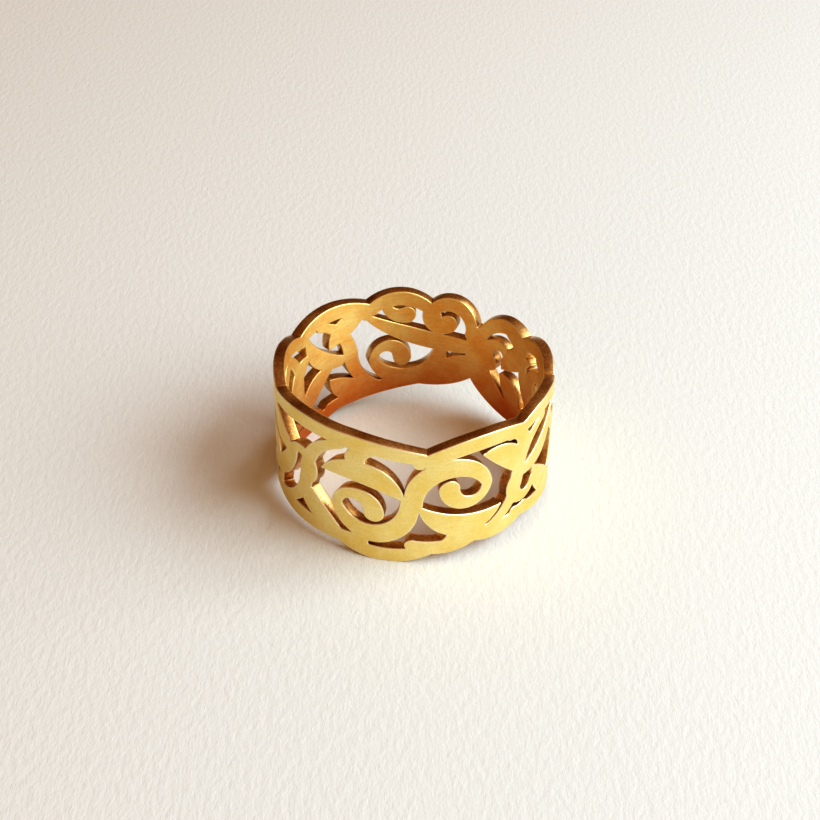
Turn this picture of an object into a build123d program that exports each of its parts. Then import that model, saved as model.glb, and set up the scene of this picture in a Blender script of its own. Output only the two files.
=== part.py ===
from build123d import *

import os
from collections import namedtuple
from math import atan, ceil, cos, degrees, pi, sin, tan

# Openwork finger ring: one metal strip, pierced in flowing scrolls, leaves and curls, then rolled up
# and soldered. It stands on its lower edge. The axis is +Z, the origin is at the middle of its base,
# and the front faces -Y.

# Driving dimensions, in millimetres.
inner_diameter = 17.3
wall_thickness = 0.8
band_height = 9.7
stroke_width = 1.2
smallest_opening = 0.08  # square millimetres, the least that the saw can cut
longest_wall = 2.0  # of one arc of a rolled opening's outline
widest_turn = 50  # degrees, of one such arc
cut_margin = 0.2  # how far the cuts reach past the metal
edge_sectors = 12  # the wavy rims are cut in this many equal turns

inner_radius = inner_diameter / 2
outer_radius = inner_radius + wall_thickness
strip_radius = inner_radius + wall_thickness / 2  # the layer of the wall that keeps its length when rolled
strip_length = 2 * pi * strip_radius

# Forms of stroke. A sweep's middle line is one arc, and a wave's is two equal arcs that turn opposite
# ways. The widths at the start, middle and end are shares of the stroke width.
Form = namedtuple("Form", "line start middle end")
forms = {
    "rail": Form("sweep", 0.70, 0.95, 0.75),
    "swash": Form("sweep", 0.20, 1.15, 0.80),
    "leaf": Form("sweep", 0.15, 1.45, 0.15),
    "stem": Form("wave", 0.55, 1.05, 0.55),
    "scroll": Form("sweep", 0.65, 1.25, 0.95),
    "curl": Form("sweep", 0.65, 0.80, 1.15),
    "vein": Form("sweep", 0.50, 0.60, 0.50),
    "knot": Form("sweep", 0.90, 1.60, 0.90),
}

# A row for each rail, the strokes that make the two wavy rims: where its middle line starts, how high
# it is half way, and where it ends. Angles are degrees round the band, -90 at the front. Heights are
# shares of the height that a middle line has to itself: a full stroke rests on the base at 0 and
# touches the top at 1, and past them it is cut flat.
Rail = namedtuple("Rail", "angle height middle_height end_angle end_height")

upper_rim = [
    Rail(-166, 0.92, 1.01, -86, 0.92),
    Rail(-87, 0.88, 1.00, -41, 0.96),
    Rail(-42, 0.95, 1.01, -2, 0.91),
    Rail(-5, 0.87, 0.98, 30, 0.89),
    Rail(28, 0.84, 0.94, 57, 0.73),
    Rail(63, 0.71, 0.97, 83, 0.84),
    Rail(80, 0.84, 1.00, 114, 0.88),
    Rail(110, 0.91, 0.99, 156, 0.91),
    Rail(152, 0.89, 0.99, 196, 0.91),
]

# The rails that dip below 0 are the ring's three feet.
lower_rim = [
    Rail(-120, 0.07, -0.01, -83, 0.05),
    Rail(-90, 0.10, 0.07, -61, 0.16),
    Rail(-66, 0.13, 0.11, -38, 0.18),
    Rail(-44, 0.18, 0.10, 3, 0.07),
    Rail(-6, 0.07, -0.01, 38, 0.09),
    Rail(30, 0.10, 0.14, 62, 0.39),
    Rail(60, 0.39, 0.22, 92, 0.20),
    Rail(84, 0.20, 0.12, 135, 0.06),
    Rail(129, 0.065, -0.015, 186, 0.08),
    Rail(178, 0.15, 0.08, 250, 0.09),
]

# A row for each stroke between the rims: where its middle line starts and ends, and how far it bows to
# the left of its run, as a share of its length.
Stroke = namedtuple("Stroke", "form angle height end_angle end_height bow")

soldered_joint = [
    Stroke("rail", 180, 0.09, 180, 0.93, 0.04),
]

front_left = [
    Stroke("swash", -176, 0.24, -146, 0.64, -0.16),
    Stroke("leaf", -172, 0.91, -146, 0.61, -0.10),
    Stroke("leaf", -182, 0.59, -160, 0.32, 0.12),
    Stroke("vein", -160, 0.10, -158, 0.28, 0.10),
    Stroke("stem", -154, 0.12, -120, 0.94, -0.16),
    Stroke("curl", -146, 0.64, -136, 0.52, 0.55),
    Stroke("leaf", -141, 0.46, -120, 0.14, -0.14),
]

front_middle = [
    Stroke("curl", -121, 0.39, -105, 0.38, 0.48),
    Stroke("scroll", -121, 0.39, -91, 0.50, -0.46),
    Stroke("leaf", -93, 0.53, -128, 0.66, -0.22),
    Stroke("curl", -100, 0.96, -113, 0.86, -0.20),
    Stroke("curl", -59, 0.61, -75, 0.62, 0.48),
    Stroke("scroll", -59, 0.61, -89, 0.50, -0.46),
    Stroke("leaf", -87, 0.47, -52, 0.34, -0.22),
    Stroke("curl", -84, 0.08, -71, 0.19, -0.20),
]

front_right = [
    Stroke("stem", -60, 0.14, -26, 0.92, -0.16),
    Stroke("curl", -32, 0.38, -44, 0.48, 0.55),
    Stroke("leaf", -41, 0.54, -61, 0.88, -0.16),
    Stroke("leaf", -32, 0.50, -8, 0.12, -0.12),
    Stroke("swash", -14, 0.93, -38, 0.55, 0.14),
    Stroke("curl", -48, 0.96, -40, 0.82, 0.20),
]

right_side = [
    Stroke("stem", -20, 0.15, 14, 0.91, -0.16),
    Stroke("leaf", -18, 0.73, 4, 0.43, 0.12),
    Stroke("swash", 26, 0.08, -2, 0.45, 0.14),
    Stroke("curl", 4, 0.64, 21, 0.52, 0.50),
    Stroke("leaf", 12, 0.43, 35, 0.13, -0.12),
    Stroke("stem", 16, 0.27, 40, 0.89, -0.14),
    Stroke("leaf", 24, 0.75, 44, 0.52, 0.12),
]

back_right = [
    Stroke("knot", 60, 0.39, 60, 0.75, 0.04),
    Stroke("swash", 36, 0.14, 60, 0.59, -0.14),
    Stroke("leaf", 34, 0.11, 45, 0.45, 0.14),
    Stroke("curl", 42, 0.68, 52, 0.52, 0.50),
]

back_middle = [
    Stroke("swash", 116, 0.90, 60, 0.60, 0.12),
    Stroke("curl", 84, 0.86, 74, 0.78, 0.45),
    Stroke("curl", 104, 0.97, 94, 0.84, 0.25),
    Stroke("scroll", 110, 0.41, 78, 0.46, 0.38),
    Stroke("curl", 110, 0.41, 96, 0.41, -0.48),
    Stroke("leaf", 64, 0.50, 84, 0.24, -0.10),
    Stroke("stem", 104, 0.13, 140, 0.91, -0.16),
    Stroke("leaf", 115, 0.88, 134, 0.66, 0.12),
    Stroke("leaf", 134, 0.34, 112, 0.16, 0.14),
]

back_left = [
    Stroke("swash", 150, 0.92, 128, 0.50, 0.16),
    Stroke("leaf", 132, 0.48, 155, 0.08, 0.12),
    Stroke("stem", 142, 0.08, 172, 0.91, -0.16),
    Stroke("leaf", 148, 0.71, 166, 0.41, 0.12),
    Stroke("swash", 156, 0.09, 182, 0.50, -0.12),
    Stroke("leaf", 167, 0.87, 182, 0.61, 0.12),
]

front = front_left + front_middle + front_right
back = back_right + back_middle + back_left


def flat_point(angle, height):
    """The place on the unrolled strip: x along its length, from its middle, and y up from its base."""
    return Vector(angle / 360 * strip_length, stroke_width / 2 + height * (band_height - stroke_width))


def rail_stroke(rail):
    """A rail as a stroke, bowed so that its middle line has the height that is given half way."""
    start = flat_point(rail.angle, rail.height)
    end = flat_point(rail.end_angle, rail.end_height)
    middle = flat_point((rail.angle + rail.end_angle) / 2, rail.middle_height)
    bow = (middle - (start + end) / 2).Y / (end - start).length
    return Stroke("rail", rail.angle, rail.height, rail.end_angle, rail.end_height, bow)


strokes = [rail_stroke(rail) for rail in upper_rim + lower_rim] + soldered_joint + front + right_side + back

# A place on a stroke's middle line, with its heading from the stroke's run in degrees and the width there.
Station = namedtuple("Station", "point heading width")


def stations(stroke, turn):
    """The start, middle and end of each arc of a stroke's middle line, so many degrees on."""
    form = forms[stroke.form]
    start = flat_point(stroke.angle + turn, stroke.height)
    end = flat_point(stroke.end_angle + turn, stroke.end_height)
    run = end - start
    bulge = run.rotate(Axis.Z, 90) * stroke.bow
    heading = 2 * degrees(atan(2 * stroke.bow))
    if form.line == "sweep":
        return [
            Station(start, heading, form.start),
            Station(start + run / 2 + bulge, 0, form.middle),
            Station(end, -heading, form.end),
        ]
    return [
        Station(start, heading, form.start),
        Station(start + run / 4 + bulge / 2, 0, (form.start + form.middle) / 2),
        Station(start + run / 2, -heading, form.middle),
        Station(start + run * 3 / 4 - bulge / 2, 0, (form.middle + form.end) / 2),
        Station(end, heading, form.end),
    ]


def stroke_outline(stroke, turn):
    """The arcs round a stroke, each as its start, middle and end: a side, a round cap, a side and a cap."""
    places = stations(stroke, turn)
    ahead = (places[-1].point - places[0].point).normalized()
    headings = [ahead.rotate(Axis.Z, place.heading) for place in places]
    half_widths = [place.width * stroke_width / 2 for place in places]
    left = [
        place.point + heading.rotate(Axis.Z, 90) * half
        for place, heading, half in zip(places, headings, half_widths)
    ]
    right = [place.point * 2 - side for place, side in zip(places, left)]
    end_cap = places[-1].point + headings[-1] * half_widths[-1]
    start_cap = places[0].point - headings[0] * half_widths[0]
    one_side = [left[i : i + 3] for i in range(0, len(left) - 2, 2)]
    other_side = [right[i : i + 3][::-1] for i in range(0, len(right) - 2, 2)][::-1]
    return one_side + [[left[-1], end_cap, right[-1]]] + other_side + [[right[0], start_cap, left[0]]]


# The openings, flat: the strip and a margin above and below it, less every stroke that lies on it.
# A stroke that crosses the strip's end comes in again at the other end.
with BuildSketch() as openings:
    with Locations((0, band_height / 2)):
        Rectangle(strip_length, band_height + 2 * cut_margin)
    for stroke in strokes:
        first, last = sorted((stroke.angle, stroke.end_angle))
        for turn in (-360, 0, 360):
            if first + turn < 180 and last + turn > -180:
                with BuildLine():
                    for arc in stroke_outline(stroke, turn):
                        ThreePointArc(*arc)
                make_face(mode=Mode.SUBTRACT)


def in_sectors(region):
    """A region along a rim in pieces, one or more for each sector of the ring."""
    pieces = []
    width = strip_length / edge_sectors
    for sector in range(edge_sectors):
        with BuildSketch() as piece:
            add(region)
            with Locations((width * (sector + 0.5) - strip_length / 2, band_height / 2)):
                Rectangle(width, band_height + 2 * cut_margin, mode=Mode.INTERSECT)
        pieces += piece.sketch.faces()
    return pieces


def arcs_for(edge):
    """How many arcs an edge of a flat outline becomes when it is rolled."""
    if edge.geom_type == GeomType.LINE:
        return 1
    return ceil(max(edge.length / longest_wall, degrees(edge.length / edge.radius) / widest_turn))


def radial_cut(opening):
    """The solid that saws a flat opening through the rolled band, with every wall along the ring's radii."""
    box = opening.bounding_box()
    middle_angle = box.center().X / strip_radius
    half_span = box.size.X / 2 / strip_radius
    near = (inner_radius - cut_margin) * cos(half_span)
    far = outer_radius + cut_margin
    outward = Vector(cos(middle_angle), sin(middle_angle))
    with BuildPart() as cut:
        for distance in (near, far):
            side = Plane(outward * distance, x_dir=outward.rotate(Axis.Z, 90), z_dir=outward)
            with BuildSketch(side):
                with BuildLine():
                    for edge in opening.outer_wire().edges():
                        arcs = arcs_for(edge)
                        places = [edge @ (i / arcs / 2) for i in range(2 * arcs + 1)]
                        rolled = [(distance * tan(p.X / strip_radius - middle_angle), p.Y) for p in places]
                        for i in range(0, 2 * arcs, 2):
                            if edge.geom_type == GeomType.LINE:
                                Line(rolled[i], rolled[i + 2])
                            else:
                                ThreePointArc(*rolled[i : i + 3])
                make_face()
        loft(ruled=True)
    return cut.part


cuts = []
for opening in openings.sketch.faces():
    box = opening.bounding_box()
    if box.min.Y < 0 or box.max.Y > band_height:
        cuts += [radial_cut(piece) for piece in in_sectors(opening)]
    elif opening.area > smallest_opening:
        cuts.append(radial_cut(opening))

# The band: a plain tube, sawn through at every opening.
with BuildPart() as band:
    Cylinder(outer_radius, band_height, align=(Align.CENTER, Align.CENTER, Align.MIN))
    Cylinder(inner_radius, band_height, align=(Align.CENTER, Align.CENTER, Align.MIN), mode=Mode.SUBTRACT)
    add(cuts, mode=Mode.SUBTRACT)

band.part.label = "band"

os.makedirs("parts", exist_ok=True)
export_step(band.part, "parts/band.step")
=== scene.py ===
import math

import bpy
import numpy as np
from mathutils import Matrix, Vector, geometry, kdtree


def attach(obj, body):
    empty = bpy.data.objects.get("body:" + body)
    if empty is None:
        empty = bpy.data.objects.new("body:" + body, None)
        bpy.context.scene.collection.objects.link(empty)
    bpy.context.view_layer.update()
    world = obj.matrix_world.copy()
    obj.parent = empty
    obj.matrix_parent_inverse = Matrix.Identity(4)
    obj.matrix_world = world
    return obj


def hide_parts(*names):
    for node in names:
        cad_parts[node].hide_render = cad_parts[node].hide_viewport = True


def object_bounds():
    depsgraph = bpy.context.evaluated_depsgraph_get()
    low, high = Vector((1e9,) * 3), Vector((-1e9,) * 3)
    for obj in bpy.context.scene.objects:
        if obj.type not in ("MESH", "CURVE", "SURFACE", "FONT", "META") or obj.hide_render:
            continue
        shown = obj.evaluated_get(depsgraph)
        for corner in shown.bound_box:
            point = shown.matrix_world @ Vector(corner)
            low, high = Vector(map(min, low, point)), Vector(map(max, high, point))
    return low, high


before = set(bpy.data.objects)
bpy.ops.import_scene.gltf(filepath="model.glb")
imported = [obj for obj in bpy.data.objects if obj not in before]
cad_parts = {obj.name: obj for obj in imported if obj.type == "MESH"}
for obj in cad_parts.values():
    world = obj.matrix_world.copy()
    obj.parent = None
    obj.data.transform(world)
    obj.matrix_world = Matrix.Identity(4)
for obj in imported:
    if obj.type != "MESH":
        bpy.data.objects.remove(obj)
cadLow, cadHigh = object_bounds()
mm = 0.001
tiny = 1e-18  # keeps a division away from zero
white = (1.0, 1.0, 1.0)
print("frame loaded, box in mm", [round(v / mm, 2) for v in (*cadLow, *cadHigh)])

cameraSettings = {
    "elevation": math.radians(36.1),
    "distance": 113 * mm,  # from the ring's middle
    "lens": 72.25,
    "sensorWidth": 36,
    "roll": math.radians(1.2),
    "shift": (-0.0039, 0.0101),
    "clip": (5 * mm, 20),  # the nearest and the farthest that it sees, in metres
}


def makeCamera(settings):
    camera = bpy.data.objects.new("camera", bpy.data.cameras.new("camera"))
    bpy.context.scene.collection.objects.link(camera)
    up = settings["elevation"]
    back = Vector((0, -math.cos(up), math.sin(up)))
    camera.location = (cadLow + cadHigh) / 2 + back * settings["distance"]
    turn = (-back).to_track_quat("-Z", "Y").to_matrix() @ Matrix.Rotation(settings["roll"], 3, "Z")
    camera.rotation_euler = turn.to_euler()
    camera.data.lens = settings["lens"]
    camera.data.sensor_width = settings["sensorWidth"]
    camera.data.shift_x, camera.data.shift_y = settings["shift"]
    camera.data.clip_start, camera.data.clip_end = settings["clip"]
    bpy.context.scene.camera = camera


makeCamera(cameraSettings)
print("camera made")


# node helpers, for shaders and geometry alike

def feed(tree, value, socket):  # value is plain, or another node's socket
    if isinstance(value, bpy.types.NodeSocket):
        tree.links.new(value, socket)
    else:
        socket.default_value = value


def addNode(tree, kind, values=None, **settings):
    node = tree.nodes.new(kind)
    for key, value in settings.items():
        setattr(node, key, value)
    for key, value in (values or {}).items():
        feed(tree, value, node.inputs[key])
    return node


def mathNode(tree, operation, *values, clamp=False):
    values = dict(enumerate(values))
    node = addNode(tree, "ShaderNodeMath", values, operation=operation, use_clamp=clamp)
    return node.outputs[0]


def vectorNode(tree, operation, *values):
    node = addNode(tree, "ShaderNodeVectorMath", dict(enumerate(values)), operation=operation)
    return node.outputs["Value" if operation in ("LENGTH", "DOT_PRODUCT") else "Vector"]


def levelPart(tree, vector):  # without its height
    return vectorNode(tree, "MULTIPLY", vector, (1, 1, 0))


def splitNode(tree, vector):
    return addNode(tree, "ShaderNodeSeparateXYZ", {0: vector}).outputs


def joinNode(tree, *parts):
    return addNode(tree, "ShaderNodeCombineXYZ", dict(enumerate(parts))).outputs[0]


def attributeNode(tree, name, output):
    return addNode(tree, "ShaderNodeAttribute", attribute_name=name).outputs[output]


def noiseNode(tree, vector, scale, detail=2.0, roughness=0.5):
    values = {"Vector": vector, "Scale": scale, "Detail": detail, "Roughness": roughness}
    return addNode(tree, "ShaderNodeTexNoise", values).outputs[0]


def rampNode(tree, factor, places, colours):
    node = addNode(tree, "ShaderNodeValToRGB", {0: factor})
    stops = node.color_ramp.elements
    while len(stops) < len(places):
        stops.new(0.5)
    for stop, place, colour in zip(stops, places, colours):
        stop.position = place
        stop.color = (*colour, 1)
    return node.outputs[0]


def mixColour(tree, factor, a, b, blend="MIX"):  # a and b are colours or sockets
    node = addNode(tree, "ShaderNodeMix", data_type="RGBA", blend_type=blend)
    for index, value in ((0, factor), (6, a), (7, b)):  # sockets 6 and 7 take colours
        feed(tree, (*value, 1) if isinstance(value, tuple) else value, node.inputs[index])
    return node.outputs[2]


def bumpNode(tree, height, distance, below=None):
    values = {"Strength": 1.0, "Distance": distance, "Height": height}
    if below:
        values["Normal"] = below
    return addNode(tree, "ShaderNodeBump", values).outputs[0]


def newGroup(name, inputs, outputs):  # inputs are (label, kind, usual value), outputs labels
    group = bpy.data.node_groups.new(name, "ShaderNodeTree")
    for label, kind, value in inputs:
        socket = group.interface.new_socket(label, in_out="INPUT", socket_type=kind)
        if value is not None:
            socket.default_value = value
    for label in outputs:
        group.interface.new_socket(label, in_out="OUTPUT", socket_type="NodeSocketFloat")
    return group, group.nodes.new("NodeGroupInput").outputs, group.nodes.new("NodeGroupOutput")


def newMaterial(name):
    material = bpy.data.materials.new(name)
    material.use_nodes = True
    tree = material.node_tree
    tree.nodes.clear()
    shader = addNode(tree, "ShaderNodeBsdfPrincipled")
    addNode(tree, "ShaderNodeOutputMaterial", {0: shader.outputs[0]})
    return material, tree, shader


# the band: the openwork's outlines are read off the frame, filled flat and rolled up
band = {
    "node": "band",
    "samePlace": 0.0002 * mm,  # nearer points of the frame are one
    "faceTolerance": 0.002 * mm,
    "faceTurn": 0.7,  # cosine of the most that a triangle of the outer face leans
    "cornerTurn": math.radians(28),  # sharper turns of an outline stay corners
    "outlineStep": 0.09 * mm,
    "fillStep": 0.27 * mm,
    "fillRows": ((0.29, 0.25), (1.0, 0.5), (2.4, 1.0)),  # (edge radii in, outline steps apart)
    "flatTolerance": 1e-7,  # of the strip's radius, between two points of the fill
    "weld": 0.0005 * mm,
    "edgeRadius": 0.06 * mm,
    "sharpAngle": math.radians(50),
}


def readNode(node, settings):
    mesh = node.data
    places = np.zeros(len(mesh.vertices) * 3)
    mesh.vertices.foreach_get("co", places)
    places = places.reshape(-1, 3)
    mesh.calc_loop_triangles()
    corners = np.zeros(len(mesh.loop_triangles) * 3, np.int64)
    mesh.loop_triangles.foreach_get("vertices", corners)
    keys = np.round(places / settings["samePlace"]).astype(np.int64)
    _, first, same = np.unique(keys, axis=0, return_index=True, return_inverse=True)
    return places[first], same.reshape(-1)[corners].reshape(-1, 3)


cadPlaces, cadTriangles = readNode(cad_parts[band["node"]], band)
reach = np.hypot(cadPlaces[:, 0], cadPlaces[:, 1])
innerRadius, outerRadius = float(reach.min()), float(reach.max())
wallThickness = outerRadius - innerRadius
stripRadius = (innerRadius + outerRadius) / 2
stripLength = 2 * math.pi * stripRadius

# the outer face is brushed round the band to a pale satin
satinGold = {
    "light": (1.0, 0.84, 0.35),
    "deep": (0.97, 0.75, 0.22),
    # a rubbed edge is paler: edge wear and a painted highlight
    "rubbedAndHighlit": (1.0, 0.88, 0.58),
    "metallic": 0.92,
    "lineShade": 0.06,  # how much darker its lines and specks are
    "speckleShade": 0.06,
    "roughness": (0.38, 0.50),
    "anisotropy": 0.4,
    "lineDepth": 0.004 * mm,
    "hollowDepth": 0.03 * mm,
    "linesPerMm": 9.0,
    "stretch": 14.0,  # a line's length in its widths
    "onWall": False,
    "lowRimShade": (0.93, 0.88, 0.80),  # painted shade: a darker tint towards the lower rim
    "lowRimShadeHeight": 3.5 * mm,
}

# the inner face is painted darker and redder: a painted shade and painted reflection of gold on
# gold inside the ring
innerShadedGold = {
    "light": (1.0, 0.74, 0.25),
    "deep": (0.98, 0.53, 0.11),
    "rubbedAndHighlit": (1.0, 0.76, 0.30),
    "metallic": 0.8,
    "lineShade": 0.10,
    "speckleShade": 0.08,
    "roughness": (0.40, 0.52),
    "anisotropy": 0.8,
    "lineDepth": 0.004 * mm,
    "hollowDepth": 0.04 * mm,
    "linesPerMm": 7.0,
    "stretch": 14.0,
    "onWall": False,
    # painted shade, deeper on this face: darker and redder towards the lower rim
    "lowRimShade": (0.60, 0.23, 0.09),
    "lowRimShadeHeight": 7.5 * mm,
}

# the walls show the saw: grooves straight through the metal, and a darker, browner colour that is
# a painted shade and painted dark reflection
sawnShadedGold = {
    "light": (1.0, 0.63, 0.25),
    "deep": (0.56, 0.26, 0.075),
    "rubbedAndHighlit": (1.0, 0.80, 0.42),
    "metallic": 1.0,
    "lineShade": 0.14,
    "speckleShade": 0.34,
    "roughness": (0.24, 0.40),
    "anisotropy": 0.0,
    "lineDepth": 0.010 * mm,
    "hollowDepth": 0.02 * mm,
    "linesPerMm": 14.0,
    "stretch": 1.0,
    "onWall": True,
    "lowRimShade": (0.85, 0.75, 0.65),
    "lowRimShadeHeight": 4.0 * mm,
}

# what the three finishes share; a scale is in waves to the metre, a stop a place on a ramp
everyGold = {
    "patchScale": 700.0,
    "speckleScale": 6500.0,
    "rubbedAndHighlitScale": 2600.0,
    "cloudScale": 420.0,
    "hollowScale": 260.0,
    "cloudStops": (0.36, 0.62),
    "lineStops": (0.35, 0.6),
    "speckleStops": (0.4, 0.6),
    "lowRimShadeStops": (0.3, 1.0),
    "lowRimShadeDrift": 2 * mm,  # how far the clouds move the painted shade of the lower rim up and down
    "rubbedAndHighlitWidth": 0.13 * mm,
    "rubbedAndHighlitBreakUp": 0.8,
    "speckleRoughness": 0.08,
    "rubbedRoughness": -0.1,
    "brushedTurn": 0.25,  # of a full turn, away from the strip's length
}


def makeGrainGroup(settings):
    # fine lines of the polishing or the saw, soft patches and a matt speckle
    inputs = [
        ("Strip", "NodeSocketVector", None),
        ("Place", "NodeSocketVector", None),
        ("Lines per mm", "NodeSocketFloat", 9.0),
        ("Stretch", "NodeSocketFloat", 14.0),
    ]
    group, source, sink = newGroup("metalGrain", inputs, ("Lines", "Patch", "Speckle"))
    across = mathNode(group, "MULTIPLY", source["Lines per mm"], 1 / mm)
    along = mathNode(group, "DIVIDE", across, source["Stretch"])
    scale = joinNode(group, along, across, along)
    strip = vectorNode(group, "MULTIPLY", source["Strip"], scale)
    place = source["Place"]
    noises = {
        "Lines": noiseNode(group, strip, 1.0, detail=3.0, roughness=0.6),
        "Patch": noiseNode(group, place, settings["patchScale"], detail=3.0, roughness=0.55),
        "Speckle": noiseNode(group, place, settings["speckleScale"], roughness=0.6),
    }
    for label, noise in noises.items():
        feed(group, noise, sink.inputs[label])
    return group


def makeEdgeGroup(settings):
    # 1 on a rubbed edge, worn and with a painted highlight, and 0 inside, broken up a little, from
    # the distance to the edge
    inputs = [
        ("Distance", "NodeSocketFloat", 0.0),
        ("Width", "NodeSocketFloat", 0.12 * mm),
        ("Vector", "NodeSocketVector", None),
        ("Break-up", "NodeSocketFloat", 0.5),
    ]
    group, source, sink = newGroup("rubbedAndHighlitEdge", inputs, ("Mask",))
    share = mathNode(group, "DIVIDE", source["Distance"], source["Width"])
    noise = noiseNode(group, source["Vector"], settings["rubbedAndHighlitScale"])
    wobble = mathNode(group, "SUBTRACT", noise, 0.5)
    wobble = mathNode(group, "MULTIPLY", wobble, source["Break-up"])
    mask = mathNode(group, "SUBTRACT", 1.0, mathNode(group, "ADD", share, wobble), clamp=True)
    feed(group, mask, sink.inputs["Mask"])
    return group


def wallDistance(tree, place):  # on a wall, from the nearer of its two edges
    radius = vectorNode(tree, "LENGTH", levelPart(tree, place))
    aside = mathNode(tree, "ABSOLUTE", mathNode(tree, "SUBTRACT", radius, stripRadius))
    return mathNode(tree, "SUBTRACT", wallThickness / 2, aside)


def makeGold(name, look, shared):
    material, tree, shader = newMaterial(name)
    place = addNode(tree, "ShaderNodeTexCoord").outputs["Object"]
    values = {
        "Strip": attributeNode(tree, "stripPlace", "Vector"),
        "Place": place,
        "Lines per mm": look["linesPerMm"],
        "Stretch": look["stretch"],
    }
    grain = addNode(tree, "ShaderNodeGroup", values, node_tree=metalGrain).outputs
    if look["onWall"]:
        edge = wallDistance(tree, place)
    else:
        edge = attributeNode(tree, "edgeDistance", "Fac")
    values = {
        "Distance": edge,
        "Width": shared["rubbedAndHighlitWidth"],
        "Vector": place,
        "Break-up": shared["rubbedAndHighlitBreakUp"],
    }
    rubbedAndHighlit = addNode(tree, "ShaderNodeGroup", values, node_tree=rubbedAndHighlitEdge).outputs["Mask"]

    # colour: soft clouds, darker lines and specks, a paler rubbed edge that is edge wear and a
    # painted highlight, painted shade towards the lower rim
    cloud = noiseNode(tree, place, shared["cloudScale"], detail=4.0, roughness=0.6)
    colour = rampNode(tree, cloud, shared["cloudStops"], (look["deep"], look["light"]))
    for kind, stops, shade in (
        ("Lines", shared["lineStops"], look["lineShade"]),
        ("Speckle", shared["speckleStops"], look["speckleShade"]),
    ):
        darker = rampNode(tree, grain[kind], stops, ((1 - shade,) * 3, white))
        colour = mixColour(tree, 1.0, colour, darker, "MULTIPLY")
    # a paler rubbed edge: edge wear and a painted highlight
    colour = mixColour(tree, rubbedAndHighlit, colour, look["rubbedAndHighlit"])
    # painted shade: the colour darkens towards the lower rim
    height = splitNode(tree, place)["Z"]
    height = mathNode(tree, "MULTIPLY_ADD", cloud, shared["lowRimShadeDrift"], height)
    values = {"Value": height, "From Min": 0.0, "From Max": look["lowRimShadeHeight"]}
    above = addNode(tree, "ShaderNodeMapRange", values).outputs[0]
    lowRimShade = rampNode(tree, above, shared["lowRimShadeStops"], (look["lowRimShade"], white))
    colour = mixColour(tree, 1.0, colour, lowRimShade, "MULTIPLY")
    feed(tree, colour, shader.inputs["Base Color"])
    feed(tree, look["metallic"], shader.inputs["Metallic"])

    # gloss: patches and specks, smoother where it is rubbed
    low, high = look["roughness"]
    rough = mathNode(tree, "MULTIPLY_ADD", grain["Patch"], high - low, low)
    rough = mathNode(tree, "MULTIPLY_ADD", grain["Speckle"], shared["speckleRoughness"], rough)
    rough = mathNode(tree, "MULTIPLY_ADD", rubbedAndHighlit, shared["rubbedRoughness"], rough)
    feed(tree, rough, shader.inputs["Roughness"])
    if look["anisotropy"]:
        feed(tree, look["anisotropy"], shader.inputs["Anisotropic"])
        feed(tree, shared["brushedTurn"], shader.inputs["Anisotropic Rotation"])
        tangent = addNode(tree, "ShaderNodeTangent", direction_type="UV_MAP", uv_map="stripPlace")
        feed(tree, tangent.outputs[0], shader.inputs["Tangent"])

    # relief: shallow hollows of the hammer under the lines
    hollow = noiseNode(tree, place, shared["hollowScale"], detail=1.0)
    relief = bumpNode(tree, hollow, look["hollowDepth"])
    relief = bumpNode(tree, grain["Lines"], look["lineDepth"], relief)
    feed(tree, relief, shader.inputs["Normal"])
    return material


metalGrain = makeGrainGroup(everyGold)
rubbedAndHighlitEdge = makeEdgeGroup(everyGold)
outerFinish = makeGold("satinGold", satinGold, everyGold)
innerShadedFinish = makeGold("innerShadedGold", innerShadedGold, everyGold)
wallShadedFinish = makeGold("sawnShadedGold", sawnShadedGold, everyGold)
print("materials made")


def outlineLoops(places, triangles, settings):
    # each edge of the outer face, with the metal on its left
    a, b, c = (places[triangles[:, i]] for i in range(3))
    normal = np.cross(b - a, c - a)
    normal /= np.maximum(np.linalg.norm(normal, axis=1), tiny)[:, None]
    outward = (a + b + c) * [1, 1, 0]
    outward /= np.linalg.norm(outward, axis=1)[:, None]
    farOut = (reach[triangles] > outerRadius - settings["faceTolerance"]).all(1)
    outer = farOut & ((normal * outward).sum(1) > settings["faceTurn"])
    edges = {(int(p), int(q)) for row in triangles[outer] for p, q in zip(row, np.roll(row, -1))}
    after = {p: q for p, q in edges if (q, p) not in edges}
    loops = []
    while after:
        at = next(iter(after))
        loop = []
        while at in after:
            loop.append(at)
            at = after.pop(at)
        loops.append(places[loop])
    return sorted(loops, key=lambda loop: tuple(loop[0]))


def unrolled(loop):  # length round the strip, and height
    angle = np.unwrap(np.arctan2(loop[:, 1], loop[:, 0]))
    return np.stack([angle * stripRadius, loop[:, 2]], 1)


def rolled(flat):
    angle = flat[:, 0] / stripRadius
    return np.stack([stripRadius * np.cos(angle), stripRadius * np.sin(angle), flat[:, 1]], 1)


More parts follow.
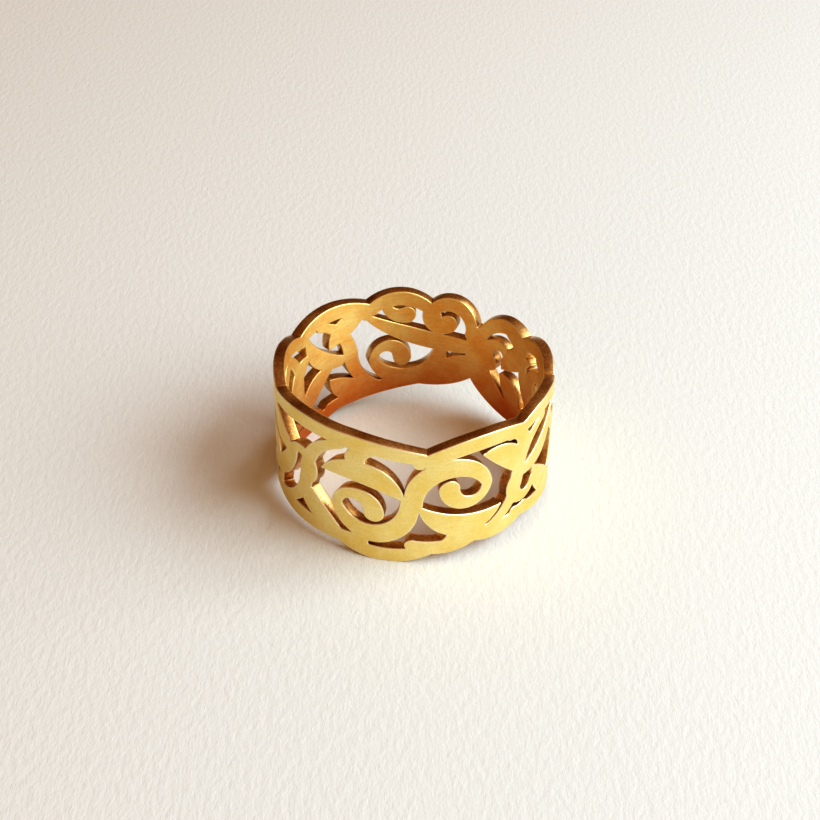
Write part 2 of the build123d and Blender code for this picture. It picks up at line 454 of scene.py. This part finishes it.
def smoothLoop(flat, settings):
    # a smooth curve through the loop's points in short steps, broken at its corners
    wrap = round((flat[0, 0] - flat[-1, 0]) / stripLength) * stripLength  # a rim goes right round
    before = np.roll(flat, 1, 0)
    before[0, 0] += wrap
    behind = np.roll(flat, -1, 0)
    behind[-1, 0] -= wrap
    stepIn, stepOut = flat - before, behind - flat
    lengthIn = np.linalg.norm(stepIn, axis=1)
    lengthOut = np.linalg.norm(stepOut, axis=1)
    cross = stepIn[:, 0] * stepOut[:, 1] - stepIn[:, 1] * stepOut[:, 0]
    corner = np.abs(np.arctan2(cross, (stepIn * stepOut).sum(1))) > settings["cornerTurn"]
    tangent = stepIn / lengthIn[:, None] ** 2 + stepOut / lengthOut[:, None] ** 2
    tangent /= np.linalg.norm(tangent, axis=1)[:, None]
    points = []
    for i in range(len(flat)):
        j = (i + 1) % len(flat)
        chord, length = stepOut[i], lengthOut[i]
        along = chord / length
        leave, arrive = tangent[i], tangent[j]
        if corner[i] and corner[j]:
            leave, arrive = along, along
        elif corner[i]:
            leave = 2 * along * (along @ arrive) - arrive
        elif corner[j]:
            arrive = 2 * along * (along @ leave) - leave
        steps = max(1, math.ceil(length / settings["outlineStep"]))
        for t in np.arange(steps) / steps:
            bend = leave * t * (1 - t) ** 2 - arrive * t * t * (1 - t)
            points.append(flat[i] + chord * t * t * (3 - 2 * t) + length * bend)
    points = np.array(points)
    points[:, 1] = np.clip(points[:, 1], 0, cadHigh.z)  # a bend stays in the box
    return points


def indexOutline(loops):
    points = np.concatenate(loops)
    starts = np.cumsum([0, *map(len, loops)])
    after = [np.roll(np.arange(len(loop)), -1) + start for loop, start in zip(loops, starts)]
    after = np.concatenate(after)
    tree = kdtree.KDTree(len(points))
    for index, point in enumerate(rolled(points)):
        tree.insert(point, index)
    tree.balance()
    return {"points": points, "after": after, "before": np.argsort(after), "tree": tree}


loops = outlineLoops(cadPlaces, cadTriangles, band)
outline = indexOutline([smoothLoop(unrolled(loop), band) for loop in loops])
print("outlines:", len(loops), "with", len(outline["points"]), "points")


def distancesTo(flat, near=5):
    # from the outline's segments on both sides of each of its nearest few points
    points, ring = rolled(flat), rolled(outline["points"])
    found = np.array([[hit[1] for hit in outline["tree"].find_n(point, near)] for point in points])
    best = np.full(len(points), np.inf)
    for index in (*found.T, *outline["before"][found].T):
        start = ring[index]
        run = ring[outline["after"][index]] - start
        share = ((points - start) * run).sum(1) / np.maximum((run * run).sum(1), tiny)
        gap = points - start - run * np.clip(share, 0, 1)[:, None]
        best = np.minimum(best, np.linalg.norm(gap, axis=1))
    return best


def insetOutline(distance):
    run = outline["points"][outline["after"]] - outline["points"][outline["before"]]
    run[:, 0] -= np.round(run[:, 0] / stripLength) * stripLength
    run /= np.maximum(np.linalg.norm(run, axis=1), tiny)[:, None]
    return outline["points"] + np.stack([-run[:, 1], run[:, 0]], 1) * distance


def spaced(flat, step):  # one point in each cell of a grid
    _, first = np.unique(np.round(flat / step).astype(np.int64), axis=0, return_index=True)
    return flat[np.sort(first)]


def fillPoints(settings):
    # rows that follow the edge, then an even fill
    rows = []
    for radii, steps in settings["fillRows"]:
        inset = radii * settings["edgeRadius"]
        row = insetOutline(inset)
        clear = distancesTo(row) > 0.9 * inset  # not past the middle of a narrow place
        rows.append(spaced(row[clear], steps * settings["outlineStep"]))
    step = settings["fillStep"]
    across = np.arange(-stripLength / 2, stripLength / 2, step)
    up = np.arange(0, cadHigh.z, step * math.sqrt(0.75))  # triangles with equal sides
    grid = np.array([(x + step / 2 * (row % 2), y) for row, y in enumerate(up) for x in across])
    rows.append(grid[distancesTo(grid) > inset + step / 3])  # clear of the last row
    return np.concatenate(rows)


def toPlane(flat):
    # the strip bent flat into a ring that keeps its shapes, so that it has no ends
    angle, grow = flat[:, 0] / stripRadius, np.exp(-flat[:, 1] / stripRadius)
    return np.stack([grow * np.cos(angle), grow * np.sin(angle)], 1)


def fromPlane(point):
    grow = math.hypot(point[0], point[1])
    return np.array([math.atan2(point[1], point[0]), -math.log(grow)]) * stripRadius


def fillOutline(settings):
    flat = np.concatenate([outline["points"], fillPoints(settings)])
    edges = [(i, int(j)) for i, j in enumerate(outline["after"])]
    planar = [Vector(p) for p in toPlane(flat)]
    filled = geometry.delaunay_2d_cdt(planar, edges, [], 0, settings["flatTolerance"])
    places, _, faces, origins, _, _ = filled
    placed = np.array([flat[old[0]] if old else fromPlane(p) for old, p in zip(origins, places)])
    newIndex = {o: i for i, old in enumerate(origins) for o in old}
    walls = {(newIndex[a], newIndex[b]) for a, b in edges if newIndex[a] != newIndex[b]}
    owner = {(face[k], face[(k + 1) % 3]): f for f, face in enumerate(faces) for k in range(3)}
    # metal spreads from the left of each outline and stops at the next
    metal = {}
    for a, b in walls:
        for side, isMetal in (((a, b), True), ((b, a), False)):
            if side in owner:
                metal.setdefault(owner[side], isMetal)
    queue = list(metal)
    while queue:
        face = queue.pop()
        row = faces[face]
        for a, b in zip(row, (*row[1:], row[0])):
            beside = owner.get((b, a))
            stopped = (a, b) in walls or (b, a) in walls
            if beside is not None and beside not in metal and not stopped:
                metal[beside] = metal[face]
                queue.append(beside)
    return placed, np.array([row for f, row in enumerate(faces) if metal.get(f)])


def makeFlatSheet(settings):
    # x round the band, y up; faces over the joint get their own points past the end
    placed, faces = fillOutline(settings)
    placed[:, 0] -= np.floor(placed[:, 0] / stripLength + 0.5) * stripLength
    across = placed[faces][:, :, 0]
    wraps = np.ptp(across, axis=1) > stripLength / 2
    keys = faces * 2 + (wraps[:, None] & (across < 0))
    used, index = np.unique(keys.reshape(-1), return_inverse=True)
    points = placed[used // 2] + np.stack([(used % 2) * stripLength, np.zeros(len(used))], 1)
    mesh = bpy.data.meshes.new("flatSheet")
    mesh.from_pydata([(x, y, 0) for x, y in points], [], index.reshape(-1, 3).tolist())
    attribute = mesh.attributes.new("edgeDistance", "FLOAT", "POINT")
    attribute.data.foreach_set("value", distancesTo(points).astype(np.float32))
    print("sheet:", len(points), "points,", len(faces), "triangles")
    return mesh


def makeRollTree(settings):
    # rolls the sheet up, gives it its wall, rounds its edges and sets its three finishes
    tree = bpy.data.node_groups.new("rollUpBand", "GeometryNodeTree")
    tree.interface.new_socket("Geometry", in_out="INPUT", socket_type="NodeSocketGeometry")
    for name in ("Inner radius", "Wall", "Edge radius"):
        socket = tree.interface.new_socket(name, in_out="INPUT", socket_type="NodeSocketFloat")
        socket.subtype = "DISTANCE"
    for name in ("Outer finish", "Inner shaded finish", "Wall shaded finish"):
        tree.interface.new_socket(name, in_out="INPUT", socket_type="NodeSocketMaterial")
    tree.interface.new_socket("Geometry", in_out="OUTPUT", socket_type="NodeSocketGeometry")
    source, sink = tree.nodes.new("NodeGroupInput").outputs, tree.nodes.new("NodeGroupOutput")
    inner, wall, edge = (source[name] for name in ("Inner radius", "Wall", "Edge radius"))

    # keep each place on the strip as a map that follows the surface
    place = addNode(tree, "GeometryNodeInputPosition").outputs[0]
    stored = addNode(
        tree,
        "GeometryNodeStoreNamedAttribute",
        {"Geometry": source["Geometry"], "Name": "stripPlace", "Value": place},
        data_type="FLOAT2",
        domain="CORNER",
    )

    # roll it, its middle layer keeping its length, and close the joint
    length, height, _ = splitNode(tree, place)
    middle = mathNode(tree, "MULTIPLY_ADD", wall, 0.5, inner)
    angle = mathNode(tree, "DIVIDE", length, middle)
    x, y = (
        mathNode(tree, "MULTIPLY", mathNode(tree, operation, angle), inner)
        for operation in ("COSINE", "SINE")
    )
    values = {"Geometry": stored.outputs[0], "Position": joinNode(tree, x, y, height)}
    rolledUp = addNode(tree, "GeometryNodeSetPosition", values).outputs[0]
    values = {"Geometry": rolledUp, "Distance": settings["weld"]}
    closed = addNode(tree, "GeometryNodeMergeByDistance", values).outputs[0]

    # its wall, outwards from the inner face
    level = levelPart(tree, place)
    outward = vectorNode(tree, "NORMALIZE", level)
    values = {"Mesh": closed, "Offset": outward, "Offset Scale": wall, "Individual": False}
    thick = addNode(tree, "GeometryNodeExtrudeMesh", values).outputs
    innerFace = addNode(tree, "GeometryNodeFlipFaces", {"Mesh": closed}).outputs
    joined = addNode(tree, "GeometryNodeJoinGeometry")
    for part in (thick, innerFace):
        feed(tree, part["Mesh"], joined.inputs[0])
    values = {"Geometry": joined.outputs[0], "Distance": settings["weld"]}
    welded = addNode(tree, "GeometryNodeMergeByDistance", values).outputs[0]

    # round the edges: both faces fall away over the last edge radius
    values = {"Name": "edgeDistance"}
    inwards = addNode(tree, "GeometryNodeInputNamedAttribute", values, data_type="FLOAT")
    short = mathNode(tree, "SUBTRACT", edge, inwards.outputs[0])
    short = mathNode(tree, "MAXIMUM", short, 0.0)
    squares = [mathNode(tree, "MULTIPLY", value, value) for value in (edge, short)]
    left = mathNode(tree, "MAXIMUM", mathNode(tree, "SUBTRACT", *squares), 0.0)
    fall = mathNode(tree, "SUBTRACT", edge, mathNode(tree, "SQRT", left))
    radius = vectorNode(tree, "LENGTH", level)
    side = mathNode(tree, "SIGN", mathNode(tree, "SUBTRACT", middle, radius))
    values = {0: outward, "Scale": mathNode(tree, "MULTIPLY", side, fall)}
    shift = addNode(tree, "ShaderNodeVectorMath", values, operation="SCALE").outputs[0]
    values = {"Geometry": welded, "Offset": shift}
    rounded = addNode(tree, "GeometryNodeSetPosition", values).outputs[0]
    smooth = addNode(tree, "GeometryNodeSetShadeSmooth", {"Geometry": rounded}).outputs[0]

    # the three finishes
    last = addNode(tree, "GeometryNodeRealizeInstances", {"Geometry": smooth}).outputs[0]
    for name, where in (("Inner shaded finish", None), ("Outer finish", "Top"), ("Wall shaded finish", "Side")):
        values = {"Geometry": last, "Material": source[name]}
        if where:
            values["Selection"] = thick[where]
        last = addNode(tree, "GeometryNodeSetMaterial", values).outputs[0]
    feed(tree, last, sink.inputs[0])
    return tree


def makeBand(settings):
    sheet = bpy.data.objects.new("flatSheet", makeFlatSheet(settings))
    bpy.context.scene.collection.objects.link(sheet)
    modifier = sheet.modifiers.new("rollUpBand", "NODES")
    modifier.node_group = makeRollTree(settings)
    values = {
        "Inner radius": innerRadius,
        "Wall": wallThickness,
        "Edge radius": settings["edgeRadius"],
        "Outer finish": outerFinish,
        "Inner shaded finish": innerShadedFinish,
        "Wall shaded finish": wallShadedFinish,
    }
    for item in modifier.node_group.interface.items_tree:
        if item.in_out == "INPUT" and item.name in values:
            modifier[item.identifier] = values[item.name]
    weighted = sheet.modifiers.new("weightedNormals", "WEIGHTED_NORMAL")
    weighted.keep_sharp = True
    graph = bpy.context.evaluated_depsgraph_get()
    mesh = bpy.data.meshes.new_from_object(
        sheet.evaluated_get(graph), preserve_all_data_layers=True, depsgraph=graph
    )
    mesh.name = "openworkBand"
    mesh.set_sharp_from_angle(angle=settings["sharpAngle"])
    piece = bpy.data.objects.new("openworkBand", mesh)
    bpy.context.scene.collection.objects.link(piece)
    bpy.data.objects.remove(sheet)
    return piece


openworkBand = makeBand(band)
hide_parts("band")
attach(openworkBand, "root")
print("band:", len(openworkBand.data.polygons), "faces")

paper = {
    "size": 0.5,
    "light": (0.85, 0.90, 0.92),
    "shade": (0.83, 0.878, 0.898),
    "tintStops": (0.3, 0.7),
    "toothScale": 1500.0,
    "toothDepth": 0.05 * mm,
    "fibreScale": 4200.0,
    "fibreDepth": 0.015 * mm,
    "stretch": (1.5, 0.7, 1.0),  # its fibres run front to back
    "roughness": 0.95,
    "specular": 0.2,
}


def makePaper(look):
    half = look["size"] / 2
    mesh = bpy.data.meshes.new("paper")
    corners = [(-half, -half, 0), (half, -half, 0), (half, half, 0), (-half, half, 0)]
    mesh.from_pydata(corners, [], [(0, 1, 2, 3)])
    sheet = bpy.data.objects.new("paper", mesh)
    bpy.context.scene.collection.objects.link(sheet)
    material, tree, shader = newMaterial("drawingPaper")
    place = addNode(tree, "ShaderNodeTexCoord").outputs["Object"]
    place = vectorNode(tree, "MULTIPLY", place, look["stretch"])
    tooth = noiseNode(tree, place, look["toothScale"], detail=3.0, roughness=0.6)
    fibre = noiseNode(tree, place, look["fibreScale"], detail=3.0, roughness=0.6)
    tint = rampNode(tree, tooth, look["tintStops"], (look["shade"], look["light"]))
    feed(tree, tint, shader.inputs["Base Color"])
    feed(tree, look["roughness"], shader.inputs["Roughness"])
    feed(tree, look["specular"], shader.inputs["Specular IOR Level"])
    relief = bumpNode(tree, fibre, look["fibreDepth"], bumpNode(tree, tooth, look["toothDepth"]))
    feed(tree, relief, shader.inputs["Normal"])
    mesh.materials.append(material)


makePaper(paper)

# one large window to the right, in a warm, dim room
windowLight = {
    "place": (0.235, -0.04, 0.20),
    "size": (0.35, 0.24),
    "power": 1.12,
    "colour": (0.86, 1.02, 1.08),
}


def makeWindow(settings):
    data = bpy.data.lights.new("window", "AREA")
    data.shape = "RECTANGLE"
    data.size, data.size_y = settings["size"]
    data.energy = settings["power"]
    data.color = settings["colour"]
    light = bpy.data.objects.new("window", data)
    light.location = settings["place"]
    light.rotation_euler = (-light.location).to_track_quat("-Z", "Y").to_euler()
    bpy.context.scene.collection.objects.link(light)


room = {
    "low": (0.09, 0.036, 0.012),
    "middle": (0.42, 0.18, 0.065),
    "high": (0.76, 0.62, 0.40),
    "stops": (0.0, 0.62, 1.0),
    "towards": (0.6, -0.8, 0.0),  # its brighter side
    "wall": (0.76, 0.73, 0.69),  # what shows past the paper
}


def makeRoom(settings):
    world = bpy.data.worlds.new("room")
    world.use_nodes = True
    tree = world.node_tree
    tree.nodes.clear()
    direction = addNode(tree, "ShaderNodeTexCoord").outputs["Generated"]
    towards = Vector(settings["towards"]).normalized()
    share = vectorNode(tree, "DOT_PRODUCT", direction, towards)
    share = mathNode(tree, "MULTIPLY_ADD", share, 0.5, 0.5)  # from -1..1 to 0..1
    colours = [settings[key] for key in ("low", "middle", "high")]
    colour = rampNode(tree, share, settings["stops"], colours)
    direct = addNode(tree, "ShaderNodeLightPath").outputs["Is Camera Ray"]
    colour = mixColour(tree, direct, colour, settings["wall"])
    background = addNode(tree, "ShaderNodeBackground", {0: colour})
    addNode(tree, "ShaderNodeOutputWorld", {0: background.outputs[0]})
    bpy.context.scene.world = world


makeWindow(windowLight)
makeRoom(room)
bpy.context.scene.view_settings.view_transform = "Standard"
bpy.context.scene.view_settings.look = "Medium High Contrast"
print("paper and light made")
